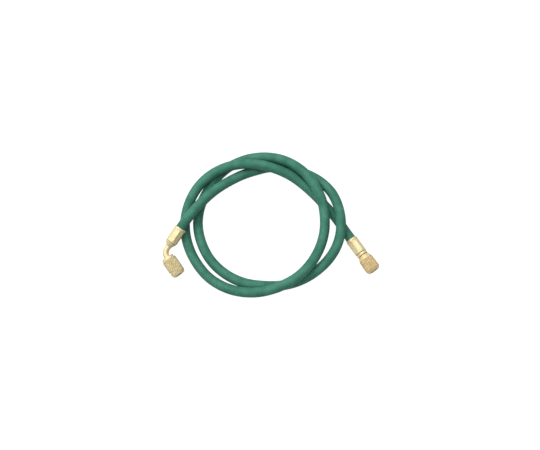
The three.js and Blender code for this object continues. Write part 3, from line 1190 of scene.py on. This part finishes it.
@dataclass(frozen=True)
class BentStem:
    """The bent stem: barbed tail, tapered shoulder, bent tube and flange.

    Attributes:
        shoulder_diameter: Diameter of the shoulder behind the ferrule.
        shoulder_length: Length in which it tapers to the tube.
        shoulder_edge: Length of its round part.
        lead_length: Straight tube before the bend.
        bend_radius: Radius of the bend at the tube's middle.
        bend_degrees: Angle of the bend.
        neck_length: Straight tube between the bend and the nut.
        ring_spacing: Distance between the rings of the bent tube.
        seat_clearance: Room round the depressor in its seat.
    """

    shoulder_diameter: float = 0.0142
    shoulder_length: float = 0.006
    shoulder_edge: float = 0.0007
    lead_length: float = 0.0035
    bend_radius: float = 0.0095
    bend_degrees: float = 71.0
    neck_length: float = 0.0005
    ring_spacing: float = 0.0005
    seat_clearance: float = GAP

    def axis(self, base: Matrix) -> Elbow:
        """The stem's middle, from the ferrule's mouth round the bend."""
        bend_start = SHOULDER_START + self.shoulder_length + self.lead_length
        return Elbow(base, bend_start, self.bend_radius, math.radians(self.bend_degrees))

    def nut_frame(self, base: Matrix) -> Matrix:
        """The frame at the nut's rear face, Z out along the nut."""
        axis = self.axis(base)
        return axis.frame_at(axis.bend_end + self.neck_length)

    def build(self, base: Matrix, finish: bpy.types.Material) -> bpy.types.Object:
        """Build the stem.

        Args:
            base: The frame at the ferrule's mouth.
            finish: The brass.

        Returns:
            The stem.
        """
        axis = self.axis(base)
        nut_start = axis.bend_end + self.neck_length
        neck, shoulder, bore = STEM_NECK_DIAMETER / 2, self.shoulder_diameter / 2, STEM_BORE / 2
        shoulder_end = SHOULDER_START + self.shoulder_length
        seat = DEPRESSOR_DIAMETER / 2 + self.seat_clearance
        seat_floor = nut_start + DEPRESSOR_LOW - GAP
        corners = [
            *BarbedTail().corners(),
            Corner(neck, SHOULDER_START),
            Corner(shoulder, SHOULDER_START, SOFT_EDGE),
            Corner(shoulder, SHOULDER_START + self.shoulder_edge, 0.0008),
            Corner(neck, shoulder_end, 0.0012, self.ring_spacing),
            *flange_corners(nut_start),
            Corner(seat, nut_start + FLANGE_FACE, TINY_EDGE),
            Corner(seat, seat_floor),
            Corner(bore, seat_floor, TINY_EDGE, self.ring_spacing),
        ]
        piece = sweep("elbow_stem", axis, corners, ROUND_SIDES)
        return finish_piece(piece, finish, Body.HOSE, "bent_stem")


@dataclass(frozen=True)
class SwivelNut:
    """A swivel nut: collar, two knurled bands with a groove between them, nose and threaded socket.

    Attributes:
        name: The piece's name.
        node: The node that it replaces.
        body: The body that it rides on.
        length: Its length.
        collar_diameter: Diameter of the collar at the rear.
        collar_length: Its length.
        flare_length: Length in which the collar widens to the first band.
        rear_band_diameter: Diameter of the band next to the collar.
        rear_band_length: Its length.
        front_band_diameter: Diameter of the band next to the mouth.
        front_band_length: Its length.
        nose_diameter: Diameter of the front face.
        groove_depth: Depth of the groove between the bands.
        groove_width: Its width.
        thread_diameter: Minor diameter of the thread.
        thread_depth: Depth of the thread.
        thread_pitch: Its pitch.
        relief_diameter: Diameter of the room behind the thread.
        relief_length: Its length.
        relief_taper: Length in which it narrows to the thread.
        mouth_chamfer: Chamfer of the socket's mouth.
        knurls: Knurls in one turn.
        knurl_length: Length of one knurl along the nut.
        knurl_depth: Depth of the knurling.
        divisions: Divisions of the mesh in one knurl, each way.
        rows: How many times as fine the rings of a band are as its divisions.
    """

    name: str
    node: str
    body: Body
    length: float
    collar_diameter: float
    collar_length: float
    flare_length: float
    rear_band_diameter: float
    rear_band_length: float
    front_band_diameter: float
    front_band_length: float
    nose_diameter: float = 0.015
    groove_depth: float = 0.0007
    groove_width: float = 0.001
    thread_diameter: float = 0.0099
    thread_depth: float = 0.0006
    thread_pitch: float = 0.00127
    relief_diameter: float = 0.0114
    relief_length: float = 0.0062
    relief_taper: float = 0.0006
    mouth_chamfer: float = 0.0009
    knurls: int = 32
    knurl_length: float = 0.0026
    knurl_depth: float = 0.00055
    divisions: int = 8
    rows: float = 1.5

    def bands(self) -> tuple[tuple[float, float, float], tuple[float, float, float]]:
        """Radius, start and end of the rear and the front band."""
        rear_start = self.collar_length + self.flare_length
        rear_end = rear_start + self.rear_band_length
        front_start = rear_end + self.groove_width
        front_end = front_start + self.front_band_length
        return (
            (self.rear_band_diameter / 2, rear_start, rear_end),
            (self.front_band_diameter / 2, front_start, front_end),
        )

    def corners(self) -> list[Corner]:
        """The outline of the blank before knurling and threading."""
        (rear, rear_start, rear_end), (front, front_start, front_end) = self.bands()
        collar, thread, relief = (
            diameter / 2
            for diameter in (self.collar_diameter, self.thread_diameter, self.relief_diameter)
        )
        hole = STEM_NECK_DIAMETER / 2 + GAP
        relief_end = NUT_REAR_WALL + self.relief_length
        band_step = self.knurl_length / self.divisions / self.rows
        thread_step = self.thread_pitch / self.divisions
        return [
            Corner(hole, 0, FINE_EDGE),
            Corner(collar, 0, 0.0006),
            Corner(collar, self.collar_length, SOFT_EDGE),
            Corner(rear, rear_start, SOFT_EDGE, band_step),
            Corner(rear, rear_end, SOFT_EDGE),
            Corner(rear - self.groove_depth, rear_end, TINY_EDGE),
            Corner(rear - self.groove_depth, front_start, TINY_EDGE),
            Corner(front, front_start, SOFT_EDGE, band_step),
            Corner(front, front_end, 0.0004),
            Corner(self.nose_diameter / 2, self.length, 0.0004),
            Corner(thread + self.mouth_chamfer, self.length, TINY_EDGE, thread_step),
            Corner(thread, self.length - self.mouth_chamfer, 0, thread_step),
            Corner(thread, relief_end + self.relief_taper, 0, thread_step),
            Corner(relief, relief_end),
            Corner(relief, NUT_REAR_WALL),
            Corner(hole, NUT_REAR_WALL),
        ]

    def build(
        self,
        base: Matrix,
        finish: bpy.types.Material,
        trees: dict[Cut, bpy.types.NodeTree],
    ) -> bpy.types.Object:
        """Turn the blank, knurl its bands, thread its socket and put it in place.

        Args:
            base: The frame at its rear face, Z out of its mouth.
            finish: The knurled brass.
            trees: The cutting trees.

        Returns:
            The nut.
        """
        sides = self.knurls * self.divisions
        piece = sweep(self.name, Straight(Matrix.Identity(4)), self.corners(), sides)
        cuts = []
        for radius, start, end in self.bands():
            sizes = (float(self.knurls), self.knurl_length, radius, self.knurl_depth, start, end)
            cuts.append((trees[Cut.KNURL], dict(zip(CUT_INPUTS, sizes))))
        thread_start = NUT_REAR_WALL + self.relief_length
        sizes = (
            1.0,
            self.thread_pitch,
            self.thread_diameter / 2,
            self.thread_depth,
            thread_start,
            self.length,
        )
        cuts.append((trees[Cut.THREAD], dict(zip(CUT_INPUTS, sizes))))
        run_cuts(piece, cuts, finish)
        piece.data.transform(base)
        return finish_piece(piece, finish, self.body, self.node, FINE_CREASE_DEGREES)


@dataclass(frozen=True)
class Gasket:
    """A flat gasket on the stem's flange face.

    Attributes:
        bore: Diameter of its hole.
        rounding: Rounding of its edges.
    """

    bore: float = 0.004
    rounding: float = 0.00025

    def build(self, base: Matrix, name: str, finish: bpy.types.Material, node: str) -> bpy.types.Object:
        """Build one gasket.

        Args:
            base: The frame at the nut's rear face.
            name: The piece's name.
            finish: The black rubber.
            node: The node that it replaces.

        Returns:
            The gasket.
        """
        hole, edge = self.bore / 2, FLANGE_DIAMETER / 2
        corners = [
            Corner(hole, GASKET_START, self.rounding),
            Corner(edge, GASKET_START, self.rounding),
            Corner(edge, GASKET_END, self.rounding),
            Corner(hole, GASKET_END, self.rounding),
        ]
        piece = sweep(name, Straight(base), corners, ROUND_SIDES)
        return finish_piece(piece, finish, Body.HOSE, node)


@dataclass(frozen=True)
class CoreDepressor:
    """A notched disc in the flange's seat, with a pin through the gasket.

    Attributes:
        pin_diameter: Diameter of the pin.
        reach: How far the pin stands out of the gasket.
        notches: Number of notches in the disc.
        notch_diameter: Diameter of a notch.
        sides: Divisions round the disc.
    """

    pin_diameter: float = 0.0016
    reach: float = 0.0012
    notches: int = 3
    notch_diameter: float = 0.0017
    sides: int = 96

    def notched(self, radius: float, along: float, angle: float) -> float:
        """The radius after the notches are cut.

        Args:
            radius: The radius before.
            along: Place along the axis, which changes nothing.
            angle: Angle round the axis.

        Returns:
            The radius, drawn in where a notch is.
        """
        part = FULL_TURN / self.notches
        off = (angle + part / 2) % part - part / 2
        middle, cut = DEPRESSOR_DIAMETER / 2, self.notch_diameter / 2
        across = middle * math.sin(off)
        if abs(off) > part / 2 or abs(across) >= cut:
            return radius
        return min(radius, middle * math.cos(off) - math.sqrt(cut * cut - across * across))

    def build(self, base: Matrix, finish: bpy.types.Material) -> bpy.types.Object:
        """Build the depressor.

        Args:
            base: The frame at the nut's rear face.
            finish: The brass.

        Returns:
            The depressor.
        """
        disc, pin = DEPRESSOR_DIAMETER / 2, self.pin_diameter / 2
        corners = [
            Corner(0, DEPRESSOR_LOW),
            Corner(disc, DEPRESSOR_LOW, 0.00012),
            Corner(disc, DEPRESSOR_HIGH, 0.00012),
            Corner(pin, DEPRESSOR_HIGH, TINY_EDGE),
            Corner(pin, GASKET_END + self.reach, SOFT_EDGE),
            Corner(0, GASKET_END + self.reach),
        ]
        piece = sweep("valve_core_depressor", Straight(base), corners, self.sides, self.notched)
        return finish_piece(piece, finish, Body.HOSE, "core_depressor")


@dataclass(frozen=True)
class Finishes:
    """The finished materials, made once.

    Attributes:
        rubber: The hose's cover.
        crimped: Brass of the ferrules.
        turned: Brass of the stems and the depressor.
        left_nut: Knurled brass of the bent end's nut.
        right_nut: Knurled brass of the straight end's nut, which is warmer.
        gasket: Black rubber.
    """

    rubber: bpy.types.Material
    crimped: bpy.types.Material
    turned: bpy.types.Material
    left_nut: bpy.types.Material
    right_nut: bpy.types.Material
    gasket: bpy.types.Material

    @classmethod
    def make(cls) -> Finishes:
        """Write every material."""
        return cls(
            rubber=HoseRubber().make(),
            crimped=PaleBrass("crimped_brass", marks=Marks.DRAWN, mark_width=0.0002).make(),
            turned=PaleBrass("turned_brass").make(),
            left_nut=PaleBrass("knurled_brass_pale", tarnish=0.4, cut=True).make(),
            right_nut=PaleBrass("knurled_brass_warm", tarnish=0.9, cut=True).make(),
            gasket=GasketRubber().make(),
        )


@dataclass(frozen=True)
class BentFitting:
    """The bent fitting at the hose's left end, with the core depressor.

    Attributes:
        stem: Its stem.
        nut: Its nut.
    """

    stem: BentStem = BentStem()
    nut: SwivelNut = SwivelNut(
        name="knurled_nut_bent",
        node="swivel_nut_bent_end",
        body=Body.BENT_NUT,
        length=0.0264,
        collar_diameter=0.016,
        collar_length=0.002,
        flare_length=0.002,
        rear_band_diameter=0.0188,
        rear_band_length=0.0144,
        front_band_diameter=0.0182,
        front_band_length=0.0038,
    )

    def build(self, looks: Finishes, trees: dict[Cut, bpy.types.NodeTree]) -> list[bpy.types.Object]:
        """Build the fitting's pieces.

        Args:
            looks: The finished materials.
            trees: The cutting trees for the nut.

        Returns:
            The pieces.
        """
        base = placement(ROUTE[0], ROUTE[0] - ROUTE[1], BENT_NUT_HEADING)
        nut_base = self.stem.nut_frame(base)
        return [
            Ferrule().build(base, "ferrule_shell_bent", looks.crimped, "ferrule_bent_end"),
            self.stem.build(base, looks.turned),
            self.nut.build(nut_base, looks.left_nut, trees),
            Gasket().build(nut_base, "flat_gasket_bent", looks.gasket, "gasket_bent_end"),
            CoreDepressor().build(nut_base, looks.turned),
        ]


@dataclass(frozen=True)
class StraightFitting:
    """The straight fitting at the hose's right end.

    Attributes:
        stem: Its stem.
        nut: Its nut.
    """

    stem: StraightStem = StraightStem()
    nut: SwivelNut = SwivelNut(
        name="knurled_nut_straight",
        node="swivel_nut_straight_end",
        body=Body.STRAIGHT_NUT,
        length=0.0237,
        collar_diameter=0.0146,
        collar_length=0.0014,
        flare_length=0.0042,
        rear_band_diameter=0.0184,
        rear_band_length=0.0042,
        front_band_diameter=0.019,
        front_band_length=0.0098,
    )

    def build(self, looks: Finishes, trees: dict[Cut, bpy.types.NodeTree]) -> list[bpy.types.Object]:
        """Build the fitting's pieces.

        Args:
            looks: The finished materials.
            trees: The cutting trees for the nut.

        Returns:
            The pieces.
        """
        axis = ROUTE[-1] - ROUTE[-2]
        base = placement(ROUTE[-1], axis, Vector((-axis.y, axis.x, 0)))
        nut_base = Straight(base).frame_at(self.stem.nut_start)
        return [
            Ferrule().build(base, "ferrule_shell_straight", looks.crimped, "ferrule_straight_end"),
            self.stem.build(base, looks.turned),
            self.nut.build(nut_base, looks.right_nut, trees),
            Gasket().build(nut_base, "flat_gasket_straight", looks.gasket, "gasket_straight_end"),
        ]


@dataclass(frozen=True)
class Lamp:
    """A soft square light.

    Attributes:
        name: Its name.
        place: Where it hangs.
        width: Its side.
        power: Its power in watts.
    """

    name: str
    place: tuple[float, float, float]
    width: float
    power: float

    def hang(self, target: Vector) -> None:
        """Hang the light and point it at the target."""
        light = bpy.data.lights.new(self.name, "AREA")
        light.size = self.width
        light.energy = self.power
        lamp = bpy.data.objects.new(self.name, light)
        lamp.location = self.place
        lamp.rotation_euler = (target - lamp.location).to_track_quat("-Z", "Y").to_euler()
        bpy.context.scene.collection.objects.link(lamp)


@dataclass(frozen=True)
class Studio:
    """The camera at the photograph's angle, the floor and the soft lights.

    Attributes:
        aim: What the camera looks at.
        distance: How far it stands away.
        elevation_degrees: How high it stands above the horizon.
        lens: Its focal length in millimetres.
        sensor: Its sensor's width in millimetres.
        floor_side: Side of the floor.
        floor_drop: How far the floor lies under the hose.
        sky: Strength of the light from all round.
    """

    aim: tuple[float, float, float] = (-0.00085, -0.00225, 0.012)
    distance: float = 0.956
    elevation_degrees: float = 75.0
    lens: float = 50.0
    sensor: float = 36.0
    floor_side: float = 6.0
    floor_drop: float = 0.0002
    sky: float = 0.2

    def place_camera(self) -> None:
        """Stand the camera where the photograph was taken from."""
        camera = bpy.data.cameras.new("photo_camera")
        camera.lens = self.lens
        camera.sensor_width = self.sensor
        camera.sensor_fit = "HORIZONTAL"
        camera.clip_start = 0.01
        stand = bpy.data.objects.new("photo_camera", camera)
        rise = math.radians(self.elevation_degrees)
        back = Vector((0, -math.cos(rise), math.sin(rise)))
        stand.location = Vector(self.aim) + back * self.distance
        stand.rotation_euler = (math.pi / 2 - rise, 0, 0)
        bpy.context.scene.collection.objects.link(stand)
        bpy.context.scene.camera = stand
        log.info("camera: %.3f m away at %.0f degrees", self.distance, self.elevation_degrees)

    def lay_floor(self) -> None:
        """Lay the pale floor."""
        half = self.floor_side / 2
        flat = ((-half, -half), (half, -half), (half, half), (-half, half))
        corners = [(x, y, -self.floor_drop) for x, y in flat]
        mesh = bpy.data.meshes.new("floor")
        mesh.from_pydata(corners, [], [(0, 1, 2, 3)])
        mesh.materials.append(PaleFloor().make())
        floor = bpy.data.objects.new("floor", mesh)
        bpy.context.scene.collection.objects.link(floor)

    def light_up(self) -> None:
        """Hang the lights, the strongest from the upper left, and light the surroundings."""
        target = Vector(self.aim)
        for lamp in (
            Lamp("ceiling_light", (-0.4, 0.35, 1.4), 3.0, 78.0),
            Lamp("key_light", (-0.7, 0.7, 1.2), 0.6, 7.0),
        ):
            lamp.hang(target)
        world = bpy.data.worlds.new("surroundings")
        world.use_nodes = True
        world.node_tree.nodes.clear()
        sheet = Sheet(world.node_tree)
        glow = sheet.value("ShaderNodeBackground", None, {"Color": (1, 1, 1, 1), "Strength": self.sky})
        sheet.add("ShaderNodeOutputWorld", None, {"Surface": glow})
        bpy.context.scene.world = world
        bpy.context.scene.view_settings.view_transform = "Standard"


def main() -> None:
    """Build the camera and the hose first, then the fittings and the studio."""
    logging.basicConfig(level=logging.INFO, format="%(message)s")
    studio = Studio()
    studio.place_camera()
    looks = Finishes.make()
    hose = RubberHose()
    tube = hose.build(looks.rubber)
    trees = {cut: cutting_tree(cut) for cut in Cut}
    BentFitting().build(looks, trees)
    far_pieces = StraightFitting().build(looks, trees)
    hose.declare()
    studio.lay_floor()
    studio.light_up()


if __name__ == "__main__":
    main()
